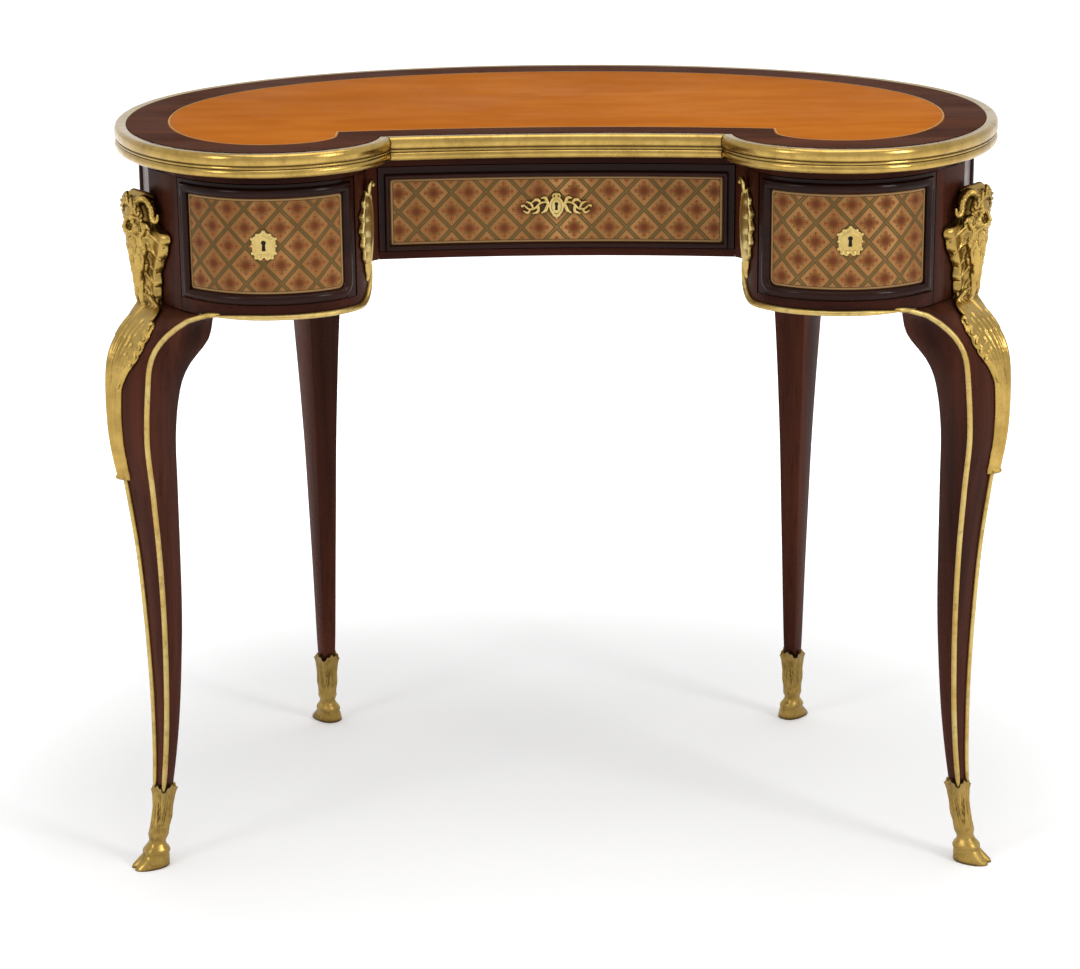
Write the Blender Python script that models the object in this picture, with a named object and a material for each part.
"""Kidney-shaped writing desk: leather top in a brass rim, three drawers, four cabriole legs.

Metres, +Z up. The sitter's side faces -Y. The origin lies on the floor under the middle of the top.
"""
import math

import bmesh
import bpy
from mathutils import Vector

# Overall size, over the brass rim; places are given from the side, front and back of it
WIDTH = 0.900
DEPTH = 0.565
HEIGHT = 0.760

# Clearances
GAP = 0.0003            # between pieces that are fitted or glued
RUN = 0.0006            # between a drawer and what it runs in
MOUNT_GAP = 0.0011      # behind a cast mount
BUTT_GAP = 0.0010       # a straight board that butts on the inside of a bent one

# Plan of the top: a full back curve, two lobes and a shallow hollow between them
WIDEST_DEEP = 0.2285        # line on which the top is widest, from the front
BACK_FULLNESS = 2.12    # 2 is an ellipse, more is squarer
LOBE_IN = 0.1660            # tip of a lobe, from the side
FLANK_IN = 0.2770           # inner side of a lobe
FLANK_DEEP = 0.1035         # where the inner curve of a lobe runs straight back
CENTRE_DEEP = 0.1125        # middle of the hollow
CENTRE_SAG = 0.012      # depth of the hollow's arc over the lobes' inner sides
BACK_STEPS = 14         # straight lengths in each curve of the outline
OUTER_STEPS = 9
INNER_STEPS = 7
CENTRE_STEPS = 4
FACE_STEPS = 8          # in each half of a drawer front

# Top
TOP_THICK = 0.024
RIM_WIDTH = 0.012
# section of the rim as shares of its width and height: a heavy lower round, a groove, an upper round
RIM_SECTION = (
    (0.00, 0.00), (0.70, 0.00), (1.00, 0.17), (1.00, 0.35), (0.67, 0.55),
    (0.67, 0.65), (1.00, 0.80), (0.70, 1.00), (0.00, 1.00),
)
LEATHER_BORDER = 0.042
LEATHER_CENTRE_BORDER = 0.031
LEATHER_THICK = 0.002

# Carcass
OVERHANG = 0.015        # wooden edge of the top to the carcass
WALL = 0.018            # aprons, posts and rails
UNDER_TOP_THICK = 0.009
LOBE_APRON = 0.143      # underside of the top to the bottom of a lobe
CENTRE_APRON = 0.103    # underside of the top to the bottom of the middle
SIDE_APRON = 0.136      # underside of the top to the bottom of the side and back aprons
RAIL_HEIGHT = 0.0135    # under a side drawer
CENTRE_BOARD = 0.0075   # under the centre drawer
SIDE_BOARD = 0.009      # under a side drawer, behind the rail
PARTITION_THICK = 0.011
GUIDE_WIDTH = 0.009
GUIDE_HEIGHT = 0.013

# Drawers
SIDE_FRONT_OUT_IN = 0.0793  # outer end of a side drawer front
SIDE_FRONT_END_IN = 0.2515  # inner end of a side drawer front
SIDE_BOX_OUT_IN = 0.0950    # outer side of its box
SIDE_BOX_END_IN = 0.2350    # inner side of its box
SIDE_BACK_DEEP = 0.3225     # back of its box
CENTRE_FRONT_IN = 0.2726    # end of the centre drawer front
CENTRE_BOX_IN = 0.2850      # side of its box
CENTRE_BACK_FORE = 0.1325   # back of its box, from the back of the top
FRONT_THICK = 0.018
FRONT_PROUD = 0.004         # frame moulding, in front of the carcass
PANEL_SINK = 0.005          # veneered panel, behind the frame moulding
FRAME_WIDTH = 0.0115
LINING = 0.008              # drawer sides and backs
LINING_DROP = 0.022         # drawer sides, below the top of the front
BOTTOM_LIFT = 0.005
BOTTOM_THICK = 0.006
LOCK_SIZE = (0.044, 0.010, 0.034)
SIDE_PLATE = (0.029, 0.0325)
CENTRE_PLATE = (0.072, 0.028)
PLATE_THICK = 0.002
PLATE_CUT = 0.3             # share of a plate's height that its ends lose

# Legs, given for the right-hand side
POST_ARRIS_ANGLE = math.radians(33)
POST_SIDE_ANGLE = math.radians(15)
POST_DEEP = 0.1705          # back of a front post
POST_PROUD = 0.005          # arris of a post, in front of the carcass
BRACKET_DROP = 0.066        # height in which a bracket runs out into its leg
FRONT_BRACKET_END_IN = 0.0980           # front corner of a front bracket
FRONT_BRACKET_INNER = (0.1090, 0.0925)  # its inner corner, from the side and the front
FRONT_BRACKET_SIDE_ANGLE = math.radians(3)
FRONT_LEG_IN = (0.0464, 0.0844)         # from the side and the front
FRONT_LEG_BOW = math.radians(-38)
FRONT_LEG_TURN = math.radians(-10)
FRONT_TOE = math.radians(-28)
BACK_POST_ENDS_IN = (0.2070, 0.1740, 0.1470)  # back end, arris and side end of a back post
BACK_POST_INNER = (0.1880, 0.1325)      # inner corner of a back post
BACK_BRACKET_ENDS_IN = (0.2280, 0.1280)  # back end and side end of a back bracket
BACK_LEG_IN = (0.1798, 0.1022)          # from the side and the back
BACK_LEG_BOW = math.radians(83)
BACK_LEG_TURN = math.radians(10)
BACK_TOE = math.radians(48)
# stations of a leg: share of its height, bow from its base, half diagonal of a front leg and of a back leg
LEG_SHARES = (0.0, 0.06, 0.17, 0.255, 0.34, 0.455, 0.575, 0.69, 0.785, 0.895, 1.0)
LEG_BOWS = (0.0300, 0.0200, 0.0102, 0.0056, 0.0033, 0.0026, 0.0046, 0.0090, 0.0132, 0.0085, 0.0)
FRONT_HALVES = (0.0080, 0.0085, 0.0116, 0.0143, 0.0166, 0.0198, 0.0226, 0.0268, 0.0312, 0.0352, 0.0370)
BACK_HALVES = (0.0080, 0.0085, 0.0114, 0.0130, 0.0145, 0.0168, 0.0192, 0.0226, 0.0260, 0.0300, 0.0330)
OUTER_CUT = 0.0030          # by which the outer arris of a front leg is cut back for its brass
# drop below the carcass and share of the way from the bracket's inner corner to the leg's
BRACKET_CURVE = ((0.0, 0.0), (0.034, 0.18), (0.058, 0.78), (0.076, 0.96), (0.100, 1.0))
BRACKET_STEPS = 12
LEG_STEP = 0.026

# Gilt mounts
SABOT_HEIGHT = 0.0925
SABOT_WALL = 0.0032
SABOT_FLOOR = 0.050
NECK_HEIGHT = 0.031
NECK_HALF = 0.0105
HOOF_HEIGHT = 0.017
HOOF_LENGTH = 0.040
HOOF_WIDTH = 0.029
HOOF_SECTIONS = ((0.0, 1.0, 1.0), (0.5, 0.95, 0.97), (1.0, 0.7, 0.85))  # shares of the three sizes above
MOULDING_HEIGHT = 0.0055
MOULDING_DEPTH = 0.0035
STRIP_SIZE = 0.0034
LEAF_DEPTH = 0.0078
LEAF_TOP = 0.020            # below the underside of the top
LEAF_IN = 0.2545            # drawer side of the leaf
LEAF_TAPER = (0.18, 0.06, 0.0, 0.05, 0.16)  # share of its height that it loses at each end, side to side
# drop from the underside of the top, width along each face, depth at the arris
MASK_STATIONS = (
    (0.029, 0.007, 0.008),
    (0.036, 0.014, 0.015),
    (0.048, 0.020, 0.021),
    (0.062, 0.022, 0.023),
    (0.080, 0.021, 0.021),
    (0.100, 0.016, 0.016),
    (0.120, 0.013, 0.012),
    (0.140, 0.013, 0.011),
    (0.160, 0.018, 0.010),
    (0.176, 0.021, 0.008),
    (0.195, 0.019, 0.007),
    (0.220, 0.014, 0.007),
    (0.260, 0.010, 0.006),
    (0.300, 0.007, 0.005),
    (0.314, 0.004, 0.004),
)
MASK_SHOULDER = (0.8, 0.55)     # shares of width and depth
MASK_FLAT = 0.3                 # share of the width that is flat on each side of the ridge

# Places, levels and edges that follow from the sizes
SIDE = WIDTH / 2
FRONT = -DEPTH / 2
BACK = DEPTH / 2
WIDEST_Y = FRONT + WIDEST_DEEP
LOBE_X = SIDE - LOBE_IN
FLANK_X = SIDE - FLANK_IN
FLANK_Y = FRONT + FLANK_DEEP
CENTRE_Y = FRONT + CENTRE_DEEP
SIDE_FRONT_OUT_X = SIDE - SIDE_FRONT_OUT_IN
SIDE_FRONT_IN_X = SIDE - SIDE_FRONT_END_IN
SIDE_BOX_OUT_X = SIDE - SIDE_BOX_OUT_IN
SIDE_BOX_IN_X = SIDE - SIDE_BOX_END_IN
SIDE_BACK_Y = FRONT + SIDE_BACK_DEEP
CENTRE_FRONT_X = SIDE - CENTRE_FRONT_IN
CENTRE_BOX_X = SIDE - CENTRE_BOX_IN
CENTRE_BACK_Y = BACK - CENTRE_BACK_FORE
POST_BACK_Y = FRONT + POST_DEEP
LEAF_X = SIDE - LEAF_IN
FRONT_BRACKET_X = SIDE - FRONT_BRACKET_END_IN
FRONT_BRACKET_CORNER = (SIDE - FRONT_BRACKET_INNER[0], FRONT + FRONT_BRACKET_INNER[1])
FRONT_LEG_BASE = (SIDE - FRONT_LEG_IN[0], FRONT + FRONT_LEG_IN[1])
BACK_POST_CORNER = (SIDE - BACK_POST_INNER[0], BACK - BACK_POST_INNER[1])
BACK_LEG_BASE = (SIDE - BACK_LEG_IN[0], BACK - BACK_LEG_IN[1])
BACK_POST_X = [SIDE - inset for inset in BACK_POST_ENDS_IN]
BACK_BRACKET_X = [SIDE - inset for inset in BACK_BRACKET_ENDS_IN]
EDGE_X = SIDE - RIM_WIDTH
EDGE_Y = BACK - RIM_WIDTH
UNDER = HEIGHT - TOP_THICK
CARCASS_TOP = UNDER - UNDER_TOP_THICK - 2 * GAP
LOBE_BOTTOM = UNDER - LOBE_APRON
CENTRE_BOTTOM = UNDER - CENTRE_APRON
SIDE_BOTTOM = UNDER - SIDE_APRON
RAIL_TOP = LOBE_BOTTOM + RAIL_HEIGHT
CENTRE_BOARD_TOP = CENTRE_BOTTOM + CENTRE_BOARD
FACE = -OVERHANG                      # carcass surface, measured from the wooden edge
INSIDE = FACE - WALL
FRONT_FACE = FACE + FRONT_PROUD
FRONT_BACK = FRONT_FACE - FRONT_THICK
FRONT_TOP = CARCASS_TOP - RUN
POST_IN_X = SIDE_FRONT_OUT_X + RUN
PARTITION_OUT_X = SIDE_BOX_IN_X - RUN
PARTITION_IN_X = PARTITION_OUT_X - PARTITION_THICK
CENTRE_POST_X = CENTRE_FRONT_X + RUN
SIDES = (("left", -1), ("right", 1))


# Plan curves of the right half; "off" is the distance outside the wooden edge of the top
def plan_back(off, angle):
    power = 2 / BACK_FULLNESS
    x = (EDGE_X + off) * max(math.cos(angle), 0.0) ** power
    y = WIDEST_Y + (EDGE_Y - WIDEST_Y + off) * max(math.sin(angle), 0.0) ** power
    return Vector((x, y))


def plan_outer(off, angle):
    x = LOBE_X + (EDGE_X - LOBE_X + off) * math.cos(angle)
    y = WIDEST_Y - (EDGE_Y + WIDEST_Y + off) * math.sin(angle)
    return Vector((x, y))


def plan_lobe_inner(off, angle):
    x = LOBE_X - (LOBE_X - FLANK_X + off) * math.sin(angle)
    y = FLANK_Y - (EDGE_Y + FLANK_Y + off) * math.cos(angle)
    return Vector((x, y))


def plan_centre(off, x):
    radius = (FLANK_X ** 2 + CENTRE_SAG ** 2) / (2 * CENTRE_SAG)
    y = CENTRE_Y - radius + math.sqrt((radius - off) ** 2 - x ** 2)
    return Vector((x, y))


def corner_angle(off):
    """Angle on the lobe's inner curve at which it meets the hollow, or a right angle if it runs on."""
    low, high = 0.0, math.pi / 2
    end = plan_lobe_inner(off, high)
    if end.y < plan_centre(off, end.x).y:
        return high
    for _ in range(40):
        middle = (low + high) / 2
        point = plan_lobe_inner(off, middle)
        if point.y < plan_centre(off, point.x).y:
            low = middle
        else:
            high = middle
    return low


def plan_inner(off, share):
    return plan_lobe_inner(off, share * corner_angle(off))


def plan_corner(off, _):
    x = plan_inner(off, 1).x
    return plan_centre(off, x)


def place(station, off):
    curve, value = station
    return curve(off, value)


def spread(curve, start, end, count):
    return [(curve, start + (end - start) * i / count) for i in range(count + 1)]


def outer_angle(x, off=FACE):
    return math.acos((x - LOBE_X) / (EDGE_X - LOBE_X + off))


def inner_share(x, off=FACE):
    return math.asin((LOBE_X - x) / (LOBE_X - FLANK_X + off)) / corner_angle(off)


def back_angle(x, off=FACE):
    return math.acos((x / (EDGE_X + off)) ** (BACK_FULLNESS / 2))


def lobe_stations(start, end):
    """Stations round the front of a lobe, from an angle on its outer curve to a share of its inner one."""
    return spread(plan_outer, start, math.pi / 2, FACE_STEPS) + spread(plan_inner, 0, end, FACE_STEPS)[1:]


def lobe_y(x, off):
    """Front of a lobe at x, seen in plan."""
    if x >= LOBE_X:
        return plan_outer(off, outer_angle(x, off)).y
    return plan_lobe_inner(off, math.asin((LOBE_X - x) / (LOBE_X - FLANK_X + off))).y


def kidney(off, centre_off=None):
    """Whole outline, anticlockwise from the middle of the hollow."""
    centre_off = off if centre_off is None else centre_off
    flank = plan_inner(off, 1).x
    right = [plan_centre(centre_off, flank * i / CENTRE_STEPS) for i in range(CENTRE_STEPS + 1)]
    first = 0 if off < centre_off or off < 0 else 1
    right += [plan_inner(off, 1 - i / INNER_STEPS) for i in range(first, INNER_STEPS)]
    right += [plan_outer(off, math.pi / 2 * (1 - i / OUTER_STEPS)) for i in range(OUTER_STEPS)]
    right += [plan_back(off, math.pi / 2 * i / BACK_STEPS) for i in range(BACK_STEPS + 1)]
    left = [Vector((-p.x, p.y)) for p in reversed(right[1:-1])]
    return right + left


# Mesh helpers
def finish(name, verts, faces, finish_name, holder=None):
    shape = bmesh.new()
    shift = holder.location if holder else Vector((0, 0, 0))
    points = [shape.verts.new(Vector(v) - shift) for v in verts]
    for face in faces:
        shape.faces.new([points[i] for i in face])
    bmesh.ops.recalc_face_normals(shape, faces=shape.faces[:])
    mesh = bpy.data.meshes.new(name)
    shape.to_mesh(mesh)
    shape.free()
    mesh.materials.append(bpy.data.materials[finish_name])
    piece = bpy.data.objects.new(name, mesh)
    bpy.context.scene.collection.objects.link(piece)
    piece.parent = holder
    return piece


def loft(name, rings, finish_name, holder=None):
    count = len(rings[0])
    verts = [point for ring in rings for point in ring]
    faces = [list(range(count)), list(range(len(verts) - count, len(verts)))]
    for level in range(len(rings) - 1):
        for i in range(count):
            a = level * count + i
            b = level * count + (i + 1) % count
            faces += [[a, b, b + count], [a, b + count, a + count]]
    return finish(name, verts, faces, finish_name, holder)


def prism(name, outline, low, high, finish_name, side=1, holder=None):
    rings = [[(side * p[0], p[1], z) for p in outline] for z in (low, high)]
    return loft(name, rings, finish_name, holder)


def box(name, x_range, y_range, z_range, finish_name, side=1, holder=None):
    (x0, x1), (y0, y1) = x_range, y_range
    outline = [(x0, y0), (x1, y0), (x1, y1), (x0, y1)]
    return prism(name, outline, *z_range, finish_name, side, holder)


def strip(name, stations, out, inn, low, high, finish_name, side=1, holder=None):
    """Bent board between two outlines; low and high are levels or one level for each station."""
    count = len(stations)
    lows = low if isinstance(low, list) else [low] * count
    highs = high if isinstance(high, list) else [high] * count
    rings = []
    for station, bottom, top in zip(stations, lows, highs):
        a = place(station, out)
        b = place(station, inn)
        ring = [(a, bottom), (a, top), (b, top), (b, bottom)]
        rings.append([(side * p.x, p.y, z) for p, z in ring])
    return loft(name, rings, finish_name, holder)


def moulded(name, stations, profile, finish_name, side=1):
    rings = []
    for station in stations:
        points = [(place(station, off), z) for off, z in profile]
        rings.append([(side * p.x, p.y, z) for p, z in points])
    return loft(name, rings, finish_name)


def cut(piece, tool, operation="DIFFERENCE"):
    tool.hide_render = True
    tool.display_type = "WIRE"
    change = piece.modifiers.new(tool.name, "BOOLEAN")
    change.operation = operation
    change.object = tool


def new_finish(name, colour, roughness, metallic):
    material = bpy.data.materials.new(name)
    material.use_nodes = True
    shader = material.node_tree.nodes["Principled BSDF"]
    shader.inputs["Base Color"].default_value = (*colour, 1)
    shader.inputs["Roughness"].default_value = roughness
    shader.inputs["Metallic"].default_value = metallic
    material.diffuse_color = (*colour, 1)


def make_finishes():
    new_finish("mahogany", (0.060, 0.018, 0.011), 0.25, 0)
    new_finish("parquetry", (0.330, 0.150, 0.065), 0.30, 0)
    new_finish("oak", (0.330, 0.190, 0.090), 0.60, 0)
    new_finish("leather", (0.490, 0.150, 0.022), 0.50, 0)
    new_finish("gilt_bronze", (0.560, 0.370, 0.090), 0.25, 1)
    new_finish("steel", (0.300, 0.290, 0.270), 0.40, 1)


def make_holder(name, location):
    holder = bpy.data.objects.new(name, None)
    holder.location = location
    bpy.context.scene.collection.objects.link(holder)
    return holder


# Top
def make_top():
    board = prism("top_board", kidney(-GAP), UNDER, HEIGHT, "mahogany")
    border = (-LEATHER_BORDER, -LEATHER_CENTRE_BORDER)
    bed = kidney(*border)
    cut(board, prism("leather_bed", bed, HEIGHT - LEATHER_THICK - GAP, HEIGHT + LEATHER_THICK, "mahogany"))
    skin = kidney(border[0] - GAP, border[1] - GAP)
    prism("leather_inset", skin, HEIGHT - LEATHER_THICK, HEIGHT, "leather")


def make_rim():
    profile = [(RIM_WIDTH * out, UNDER + TOP_THICK * up) for out, up in RIM_SECTION]
    back_start = GAP / (EDGE_Y - WIDEST_Y)
    half = spread(plan_back, back_start, math.pi / 2, BACK_STEPS)
    outer = [[(place(s, off), z) for off, z in profile] for s in half]
    rings = [[(p.x, p.y, z) for p, z in ring] for ring in outer]
    rings += [[(-x, y, z) for x, y, z in ring] for ring in reversed(rings[:-1])]
    loft("rim_back", rings, "gilt_bronze")
    lobe = spread(plan_outer, back_start, math.pi / 2, OUTER_STEPS)
    lobe += spread(plan_inner, 0, 1, INNER_STEPS)[1:]
    for label, side in SIDES:
        moulded("rim_" + label, lobe, profile, "gilt_bronze", side)
    rings = []
    for i in range(2 * CENTRE_STEPS + 1):
        share = i / CENTRE_STEPS - 1
        ring = []
        for off, z in profile:
            reach = plan_inner(off, 1).x - 2 * GAP
            point = plan_centre(off, reach * share)
            ring.append((point.x, point.y, z))
        rings.append(ring)
    loft("rim_centre", rings, "gilt_bronze")


# Carcass
def make_under_top():
    prism("under_top", kidney(FACE), CARCASS_TOP + GAP, UNDER - GAP, "mahogany")


def lobe_bottoms(stations):
    """Lower edge of a lobe, which turns up towards the kneehole in a quarter round."""
    start = place(stations[0], FACE)
    runs = [0.0]
    for station in stations[1:]:
        point = place(station, FACE)
        runs.append(runs[-1] + (point - start).length)
        start = point
    rise = CENTRE_BOTTOM - LOBE_BOTTOM
    return [LOBE_BOTTOM + rise * (1 - math.sqrt(max(1 - (run / runs[-1]) ** 2, 0))) for run in runs]


def post_stations():
    share = inner_share(SIDE_FRONT_IN_X - 2 * RUN)
    return spread(plan_inner, share, 1, 5) + [(plan_corner, 0)]


def rail_stations():
    start = outer_angle(POST_IN_X - GAP)
    end = inner_share(SIDE_FRONT_IN_X - 2 * RUN) - GAP / (LOBE_X - FLANK_X)
    return lobe_stations(start, end)


def make_posts_and_rails():
    lobe_part = post_stations()
    turn = [(plan_centre, CENTRE_POST_X)]
    bottoms = lobe_bottoms(lobe_part) + [CENTRE_BOTTOM]
    rail = rail_stations()
    for label, side in SIDES:
        strip("inner_post_" + label, lobe_part + turn, FACE, INSIDE, bottoms, CARCASS_TOP, "mahogany", side)
        strip("lower_rail_" + label, rail, FACE, INSIDE, LOBE_BOTTOM, RAIL_TOP, "mahogany", side)


def make_aprons():
    start = POST_SIDE_ANGLE - 2 * GAP / (EDGE_Y + WIDEST_Y)
    end = back_angle(BACK_POST_X[2] + 2 * GAP)
    side_part = spread(plan_outer, start, 0, 3) + spread(plan_back, 0, end, 8)[1:]
    for label, side in SIDES:
        strip("side_apron_" + label, side_part, FACE, INSIDE, SIDE_BOTTOM, CARCASS_TOP, "mahogany", side)
    half = spread(plan_back, back_angle(BACK_POST_X[0] - 2 * GAP), math.pi / 2, 6)
    rings = []
    for station in half:
        a = place(station, FACE)
        b = place(station, INSIDE)
        corners = [(a, SIDE_BOTTOM), (a, CARCASS_TOP), (b, CARCASS_TOP), (b, SIDE_BOTTOM)]
        rings.append([(p.x, p.y, z) for p, z in corners])
    rings += [[(-x, y, z) for x, y, z in ring] for ring in reversed(rings[:-1])]
    loft("back_apron", rings, "mahogany")


def post_back_y():
    """Back of an inner post, where the partition and the boards start."""
    return plan_centre(INSIDE, CENTRE_POST_X).y + GAP


def make_partitions():
    butt = INSIDE - BUTT_GAP
    end = plan_back(butt, back_angle(PARTITION_OUT_X, butt)).y
    reach = (PARTITION_IN_X, PARTITION_OUT_X)
    for label, side in SIDES:
        levels = (CENTRE_BOTTOM, CARCASS_TOP)
        box("partition_" + label, reach, (post_back_y(), end), levels, "mahogany", side)


def make_boards():
    """Boards that the drawers run on, each with the guides that keep its drawer straight."""
    back = SIDE_BACK_Y + LINING
    guide_in = SIDE_BOX_OUT_X + RUN
    guide_out = guide_in + GUIDE_WIDTH
    top = RAIL_TOP
    butt = INSIDE - BUTT_GAP
    start = outer_angle(guide_out, butt)
    board_in = max(PARTITION_IN_X, plan_lobe_inner(butt, math.pi / 2).x + 2 * GAP)
    end = math.asin((LOBE_X - board_in) / (LOBE_X - FLANK_X + butt))
    outline = [place(station, butt) for station in spread(plan_outer, start, math.pi / 2, FACE_STEPS)]
    outline += [place(station, butt) for station in spread(plan_lobe_inner, 0, end, FACE_STEPS)[1:]]
    outline += [Vector((board_in, back)), Vector((guide_out, back))]
    for label, side in SIDES:
        board = prism("drawer_board_" + label, outline, top - SIDE_BOARD, top, "oak", side)
        y_range = (lobe_y(guide_out, INSIDE) + WALL / 2, back - GAP)
        z_range = (top - SIDE_BOARD / 2, top + GUIDE_HEIGHT)
        guide = box("guide_" + label, (guide_in, guide_out - GAP), y_range, z_range, "oak", side)
        cut(board, guide, "UNION")
    end = CENTRE_POST_X - GAP
    front = [place(station, FACE) for station in spread(plan_centre, -end, end, FACE_STEPS)]
    reach = PARTITION_IN_X - GAP
    shoulder = post_back_y()
    back = CENTRE_BACK_Y + LINING
    step = [(end, shoulder), (reach, shoulder), (reach, back)]
    outline = [tuple(p) for p in front] + step + [(-x, y) for x, y in reversed(step)]
    board = prism("drawer_board_centre", outline, CENTRE_BOTTOM, CENTRE_BOARD_TOP, "oak")
    for label, side in SIDES:
        x_range = (CENTRE_BOX_X + RUN, CENTRE_BOX_X + RUN + GUIDE_WIDTH)
        z_range = (CENTRE_BOTTOM + CENTRE_BOARD / 2, CENTRE_BOARD_TOP + GUIDE_HEIGHT)
        guide = box("centre_guide_" + label, x_range, (shoulder + GAP, back - GAP), z_range, "oak", side)
        cut(board, guide, "UNION")


# Legs
def leg_value(values, share):
    """Smooth curve through values that are given at the leg's stations."""
    last = len(values) - 1
    i = max(k for k in range(last) if LEG_SHARES[k] <= share or k == 0)

    def slope(k):
        a, b = max(k - 1, 0), min(k + 1, last)
        return (values[b] - values[a]) / (LEG_SHARES[b] - LEG_SHARES[a])

    span = LEG_SHARES[i + 1] - LEG_SHARES[i]
    t = (share - LEG_SHARES[i]) / span
    start = values[i] * (1 + 2 * t) * (1 - t) ** 2 + slope(i) * span * t * (1 - t) ** 2
    return start + values[i + 1] * t * t * (3 - 2 * t) + slope(i + 1) * span * t * t * (t - 1)


def heading(angle):
    return Vector((math.cos(angle), math.sin(angle)))


def inner_ease(drop):
    """How far a bracket's inner corner has run into its leg: a nearly upright end, then a curve."""
    for (z0, share0), (z1, share1) in zip(BRACKET_CURVE, BRACKET_CURVE[1:]):
        if drop <= z1:
            return share0 + (share1 - share0) * max(drop - z0, 0) / (z1 - z0)
    return BRACKET_CURVE[-1][1]


class Leg:
    """Corners of a right-hand leg, anticlockwise: outer, back, inner and front."""

    def __init__(self, base, bow, turn, toe, halves, outer_cut, post, bracket):
        self.base = Vector(base)
        self.bow = heading(bow)
        self.turn = turn
        self.toe = toe
        self.halves = halves
        self.outer_cut = outer_cut
        self.post = post
        self.bracket = bracket

    def centre(self, z):
        return self.base + self.bow * leg_value(LEG_BOWS, z / LOBE_BOTTOM)

    def diamond(self, z, extra=0.0):
        size = leg_value(self.halves, z / LOBE_BOTTOM) + extra
        sizes = [size - self.outer_cut, size, size, size]
        return [self.centre(z) + heading(self.turn + math.pi / 2 * i) * sizes[i] for i in range(4)]

    def corners(self, z):
        if z >= LOBE_BOTTOM:
            return self.post
        drop = LOBE_BOTTOM - GAP - z
        ease = 1 - (1 - min(max(drop / BRACKET_DROP, 0), 1)) ** 3
        shares = [ease, ease, inner_ease(drop), ease]
        return [a + (b - a) * share for a, b, share in zip(self.bracket, self.diamond(z), shares)]


def front_leg():
    arris = plan_outer(FACE + POST_PROUD, POST_ARRIS_ANGLE)
    side = plan_outer(FACE, POST_SIDE_ANGLE)
    front = plan_outer(FACE, outer_angle(POST_IN_X))
    post = [arris, side, Vector((POST_IN_X, POST_BACK_Y)), front]
    bracket_side = plan_outer(FACE, FRONT_BRACKET_SIDE_ANGLE)
    bracket_front = plan_outer(FACE, outer_angle(FRONT_BRACKET_X))
    bracket = [arris, bracket_side, Vector(FRONT_BRACKET_CORNER), bracket_front]
    line = (FRONT_LEG_BASE, FRONT_LEG_BOW, FRONT_LEG_TURN, FRONT_TOE)
    return Leg(*line, FRONT_HALVES, OUTER_CUT, post, bracket)


def back_leg():
    back, arris, side = [back_angle(x) for x in BACK_POST_X]
    arris = plan_back(FACE + POST_PROUD, arris)
    inner = Vector(BACK_POST_CORNER)
    post = [plan_back(FACE, side), arris, plan_back(FACE, back), inner]
    ends = [plan_back(FACE, back_angle(x)) for x in BACK_BRACKET_X]
    bracket = [ends[1], arris, ends[0], inner]
    line = (BACK_LEG_BASE, BACK_LEG_BOW, BACK_LEG_TURN, BACK_TOE)
    return Leg(*line, BACK_HALVES, 0.0, post, bracket)


def leg_levels():
    """Heights of the sections of a leg below the carcass, closer together in the bracket."""
    low = SABOT_FLOOR + GAP
    knee = LOBE_BOTTOM - BRACKET_DROP
    count = round((knee - low) / LEG_STEP)
    levels = [low + (knee - low) * i / count for i in range(count)]
    levels += [knee + (BRACKET_DROP - GAP) * i / BRACKET_STEPS for i in range(BRACKET_STEPS + 1)]
    return levels


def with_middles(corners):
    """Corners with a point in the middle of each face."""
    ring = []
    for i, corner in enumerate(corners):
        ring += [corner, (corner + corners[(i + 1) % len(corners)]) / 2]
    return ring


def make_legs(leg, place_name):
    levels = leg_levels() + [LOBE_BOTTOM, CARCASS_TOP]
    for label, side in SIDES:
        rings = [[(side * p.x, p.y, z) for p in with_middles(leg.corners(z))] for z in levels]
        loft("leg_%s_%s" % (place_name, label), rings, "mahogany")


# Gilt mounts
def hoof_ring(leg, z, length, width):
    toe = heading(leg.toe)
    across = heading(leg.toe + math.pi / 2)
    middle = leg.centre(z)
    ring = []
    for i in range(8):
        angle = math.pi / 4 * i
        ring.append(middle + toe * math.cos(angle) * length / 2 + across * math.sin(angle) * width / 2)
    return ring


def make_sabots(leg, place_name):
    """Hollow shoe on the end of a leg, ending in a hoof."""
    rings = []
    for up, long, wide in HOOF_SECTIONS:
        z = HOOF_HEIGHT * up
        rings.append((z, hoof_ring(leg, z, HOOF_LENGTH * long, HOOF_WIDTH * wide)))
    neck = NECK_HALF * 2
    rings.append((NECK_HEIGHT, hoof_ring(leg, NECK_HEIGHT, neck, neck)))
    top = SABOT_HEIGHT
    for i in range(4):
        z = SABOT_FLOOR + (top - SABOT_FLOOR) * i / 3
        rings.append((z, with_middles(leg.diamond(z, SABOT_WALL))))
    for z in (top, SABOT_FLOOR):
        rings.append((z, with_middles(leg.diamond(z, 2 * GAP))))
    for label, side in SIDES:
        shell = [[(side * p.x, p.y, z) for p in ring] for z, ring in rings]
        loft("sabot_%s_%s" % (place_name, label), shell, "gilt_bronze")


def square_ring(point, z, normal, size, side):
    across = Vector((-normal.y, normal.x))
    corners = [(-1, -1), (1, -1), (1, 1), (-1, 1)]
    ring = [point + (normal * a + across * b) * size / 2 for a, b in corners]
    return [(side * p.x, p.y, z) for p in ring]


def arris_rings(leg, corner, top, side):
    """Square brass strip that follows one arris of a leg from the sabot up."""
    levels = [z for z in leg_levels() if SABOT_HEIGHT + GAP < z < top]
    rings = []
    for z in [SABOT_HEIGHT + GAP] + levels + [top]:
        corners = leg.corners(z)
        normal = (corners[corner] - corners[(corner + 2) % 4]).normalized()
        point = corners[corner] + normal * (MOUNT_GAP + STRIP_SIZE / 2)
        rings.append(square_ring(point, z, normal, STRIP_SIZE, side))
    return rings


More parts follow.
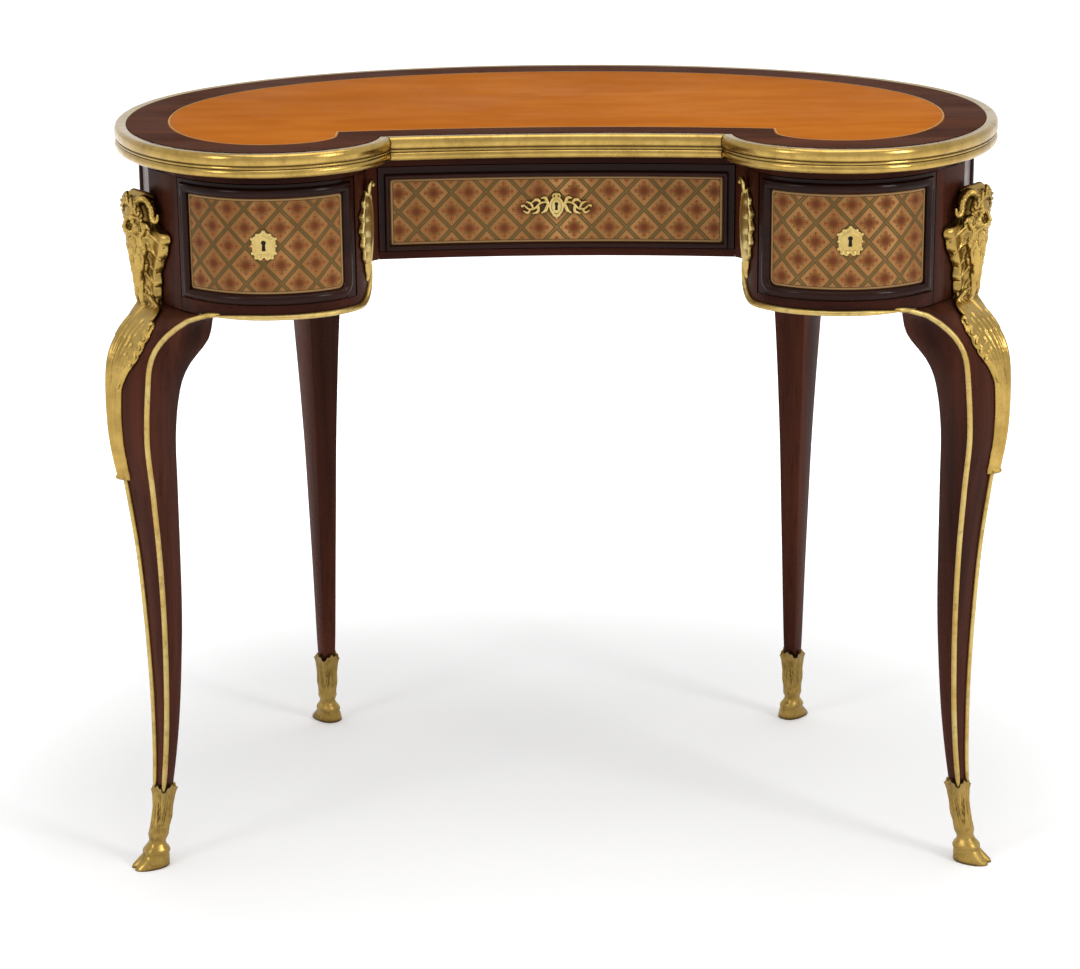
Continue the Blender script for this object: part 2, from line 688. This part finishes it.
def make_strips(leg):
    outer_top = UNDER - MASK_STATIONS[-1][0] - GAP
    front_top = LOBE_BOTTOM - 2 * GAP
    for label, side in SIDES:
        loft("outer_strip_" + label, arris_rings(leg, 0, outer_top, side), "gilt_bronze")
        loft("front_strip_" + label, arris_rings(leg, 3, front_top, side), "gilt_bronze")


def make_lobe_mouldings():
    """Brass edge along the bottom of a lobe and round its inner corner."""
    lobe_part = post_stations()[:-1]
    straight = [s for s in rail_stations() if place(s, FACE).x <= FRONT_BRACKET_X]
    bottoms = [LOBE_BOTTOM] * len(straight) + lobe_bottoms(post_stations())[:-1]
    tops = [z + MOULDING_HEIGHT for z in bottoms]
    out = FACE + GAP + MOULDING_DEPTH
    for label, side in SIDES:
        name = "lobe_moulding_" + label
        strip(name, straight + lobe_part, out, FACE + GAP, bottoms, tops, "gilt_bronze", side)


def make_leaves():
    """Leaf mounts on the inner posts."""
    stations = spread(plan_inner, inner_share(LEAF_X), 1, len(LEAF_TAPER) - 1)
    floor = lobe_bottoms(post_stations())[-2] + MOULDING_HEIGHT + GAP
    top = UNDER - LEAF_TOP
    highs = [top - (top - floor) * taper for taper in LEAF_TAPER]
    lows = [floor + (top - floor) * taper for taper in LEAF_TAPER]
    for label, side in SIDES:
        name = "leaf_mount_" + label
        strip(name, stations, FACE + GAP + LEAF_DEPTH, FACE + GAP, lows, highs, "gilt_bronze", side)


def mask_ring(leg, z, width, depth):
    """Section of a mount that sits over the outer arris: a hollow back and a rounded face."""
    outer, back, _, front = leg.corners(z)
    to_front = (front - outer).normalized()
    to_back = (back - outer).normalized()
    out = -(to_front + to_back).normalized()
    root = outer + out * MOUNT_GAP * math.sqrt(2)
    face = root + out * depth
    broad, deep = MASK_SHOULDER
    return [
        root + to_front * width, root, root + to_back * width,
        root + to_back * width * broad + out * depth * deep,
        face + to_back * width * MASK_FLAT, face + to_front * width * MASK_FLAT,
        root + to_front * width * broad + out * depth * deep,
    ]


def mask_size(drop, column):
    rows = MASK_STATIONS
    i = max(k for k in range(len(rows) - 1) if rows[k][0] <= drop or k == 0)
    t = (drop - rows[i][0]) / (rows[i + 1][0] - rows[i][0])
    return rows[i][column] + (rows[i + 1][column] - rows[i][column]) * t


def make_masks(leg):
    top = UNDER - MASK_STATIONS[0][0]
    low = UNDER - MASK_STATIONS[-1][0]
    levels = [low] + [z for z in leg_levels() if low + GAP < z < top] + [LOBE_BOTTOM]
    levels += [UNDER - row[0] for row in reversed(MASK_STATIONS) if UNDER - row[0] > LOBE_BOTTOM + GAP]
    for label, side in SIDES:
        rings = []
        for z in levels:
            drop = UNDER - z
            ring = mask_ring(leg, z, mask_size(drop, 1), mask_size(drop, 2))
            rings.append([(side * p.x, p.y, z) for p in ring])
        loft("mask_mount_" + label, rings, "gilt_bronze")


# Drawers
def plate_levels(count, middle, height):
    half = height / 2
    cuts = [PLATE_CUT * abs(2 * i / count - 1) ** 2 for i in range(count + 1)]
    return [middle - half * (1 - c) for c in cuts], [middle + half * (1 - c) for c in cuts]


def sunk_panel(front, stations, low, high, side, holder):
    """Sink the veneered field of a drawer front behind its frame moulding."""
    out = FRONT_FACE + PANEL_SINK
    inn = FRONT_FACE - PANEL_SINK
    name = front.name + "_field"
    cut(front, strip(name, stations, out, inn, low, high, "parquetry", side, holder))


def make_side_drawer(label, side):
    name = "drawer_" + label + "_"
    low = RAIL_TOP + RUN
    middle = (low + FRONT_TOP) / 2
    holder = make_holder("slide_" + label, (side * LOBE_X, plan_outer(FRONT_FACE, math.pi / 2).y, middle))
    start = outer_angle(SIDE_FRONT_OUT_X)
    end = inner_share(SIDE_FRONT_IN_X)
    face = lobe_stations(start, end)
    front = strip(name + "front", face, FRONT_FACE, FRONT_BACK, low, FRONT_TOP, "parquetry", side, holder)
    start = outer_angle(SIDE_FRONT_OUT_X - FRAME_WIDTH)
    end = inner_share(SIDE_FRONT_IN_X + FRAME_WIDTH)
    field = lobe_stations(start, end)
    sunk_panel(front, field, low + FRAME_WIDTH, FRONT_TOP - FRAME_WIDTH / 2, side, holder)

    back_of_front = FRONT_BACK - BUTT_GAP
    levels = (RAIL_TOP + GAP, FRONT_TOP - LINING_DROP)
    walls = (("outer_side", SIDE_BOX_OUT_X - LINING, SIDE_BOX_OUT_X),
             ("inner_side", SIDE_BOX_IN_X, SIDE_BOX_IN_X + LINING))
    for wall, x0, x1 in walls:
        outline = [(x0, lobe_y(x0, back_of_front)), (x1, lobe_y(x1, back_of_front)),
                   (x1, SIDE_BACK_Y), (x0, SIDE_BACK_Y)]
        prism(name + wall, outline, *levels, "oak", side, holder)
    inside = (SIDE_BOX_IN_X + LINING + GAP, SIDE_BOX_OUT_X - LINING - GAP)
    box(name + "back", inside, (SIDE_BACK_Y - LINING, SIDE_BACK_Y), levels, "oak", side, holder)
    xs = [inside[0] + (inside[1] - inside[0]) * i / FACE_STEPS for i in range(FACE_STEPS + 1)]
    outline = [(x, lobe_y(x, back_of_front)) for x in xs]
    outline += [(inside[1], SIDE_BACK_Y - LINING - GAP), (inside[0], SIDE_BACK_Y - LINING - GAP)]
    floor = levels[0] + BOTTOM_LIFT
    prism(name + "bottom", outline, floor, floor + BOTTOM_THICK, "oak", side, holder)

    half_lock = LOCK_SIZE[0] / 2
    seat = max(lobe_y(LOBE_X - half_lock, FRONT_BACK), lobe_y(LOBE_X + half_lock, FRONT_BACK)) + GAP
    x_range = (LOBE_X - half_lock, LOBE_X + half_lock)
    z_range = (middle - LOCK_SIZE[2] / 2, middle + LOCK_SIZE[2] / 2)
    box(name + "lock", x_range, (seat, seat + LOCK_SIZE[1]), z_range, "steel", side, holder)
    panel = FRONT_FACE - PANEL_SINK + GAP
    half = SIDE_PLATE[0] / 2
    plate = spread(plan_outer, outer_angle(LOBE_X + half), math.pi / 2, 3)
    plate += spread(plan_inner, 0, inner_share(LOBE_X - half), 3)[1:]
    lows, highs = plate_levels(6, middle, SIDE_PLATE[1])
    strip(name + "escutcheon", plate, panel + PLATE_THICK, panel, lows, highs, "gilt_bronze", side, holder)


def make_centre_drawer():
    name = "drawer_centre_"
    low = CENTRE_BOARD_TOP + RUN
    middle = (low + FRONT_TOP) / 2
    holder = make_holder("slide_centre", (0, plan_centre(FRONT_FACE, 0).y, middle))
    face = spread(plan_centre, -CENTRE_FRONT_X, CENTRE_FRONT_X, FACE_STEPS)
    front = strip(name + "front", face, FRONT_FACE, FRONT_BACK, low, FRONT_TOP, "parquetry", 1, holder)
    reach = CENTRE_FRONT_X - FRAME_WIDTH
    field = spread(plan_centre, -reach, reach, FACE_STEPS)
    sunk_panel(front, field, low + FRAME_WIDTH / 2, FRONT_TOP - FRAME_WIDTH, 1, holder)

    back_of_front = FRONT_BACK - GAP
    levels = (CENTRE_BOARD_TOP + GAP, FRONT_TOP - LINING_DROP)
    inside = CENTRE_BOX_X - LINING
    for label, side in SIDES:
        ends = [plan_centre(back_of_front, x) for x in (inside, CENTRE_BOX_X)]
        outline = [*ends, (CENTRE_BOX_X, CENTRE_BACK_Y), (inside, CENTRE_BACK_Y)]
        prism(name + label + "_side", outline, *levels, "oak", side, holder)
    reach = inside - GAP
    box(name + "back", (-reach, reach), (CENTRE_BACK_Y - LINING, CENTRE_BACK_Y), levels, "oak", 1, holder)
    outline = [place(station, back_of_front) for station in spread(plan_centre, -reach, reach, FACE_STEPS)]
    outline += [(reach, CENTRE_BACK_Y - LINING - GAP), (-reach, CENTRE_BACK_Y - LINING - GAP)]
    floor = levels[0] + BOTTOM_LIFT
    prism(name + "bottom", outline, floor, floor + BOTTOM_THICK, "oak", 1, holder)

    half_lock = LOCK_SIZE[0] / 2
    seat = plan_centre(FRONT_BACK, 0).y + GAP
    z_range = (middle - LOCK_SIZE[2] / 2, middle + LOCK_SIZE[2] / 2)
    box(name + "lock", (-half_lock, half_lock), (seat, seat + LOCK_SIZE[1]), z_range, "steel", 1, holder)
    panel = FRONT_FACE - PANEL_SINK + GAP
    plate = spread(plan_centre, -CENTRE_PLATE[0] / 2, CENTRE_PLATE[0] / 2, 6)
    lows, highs = plate_levels(6, middle, CENTRE_PLATE[1])
    strip(name + "escutcheon", plate, panel + PLATE_THICK, panel, lows, highs, "gilt_bronze", 1, holder)


def main():
    for old in list(bpy.data.objects):
        bpy.data.objects.remove(old, do_unlink=True)
    make_finishes()
    make_top()
    make_rim()
    make_under_top()
    make_posts_and_rails()
    make_aprons()
    make_partitions()
    make_boards()
    front = front_leg()
    back = back_leg()
    for leg, place_name in ((front, "front"), (back, "back")):
        make_legs(leg, place_name)
        make_sabots(leg, place_name)
    make_strips(front)
    make_lobe_mouldings()
    make_leaves()
    make_masks(front)
    for label, side in SIDES:
        make_side_drawer(label, side)
    make_centre_drawer()


main()
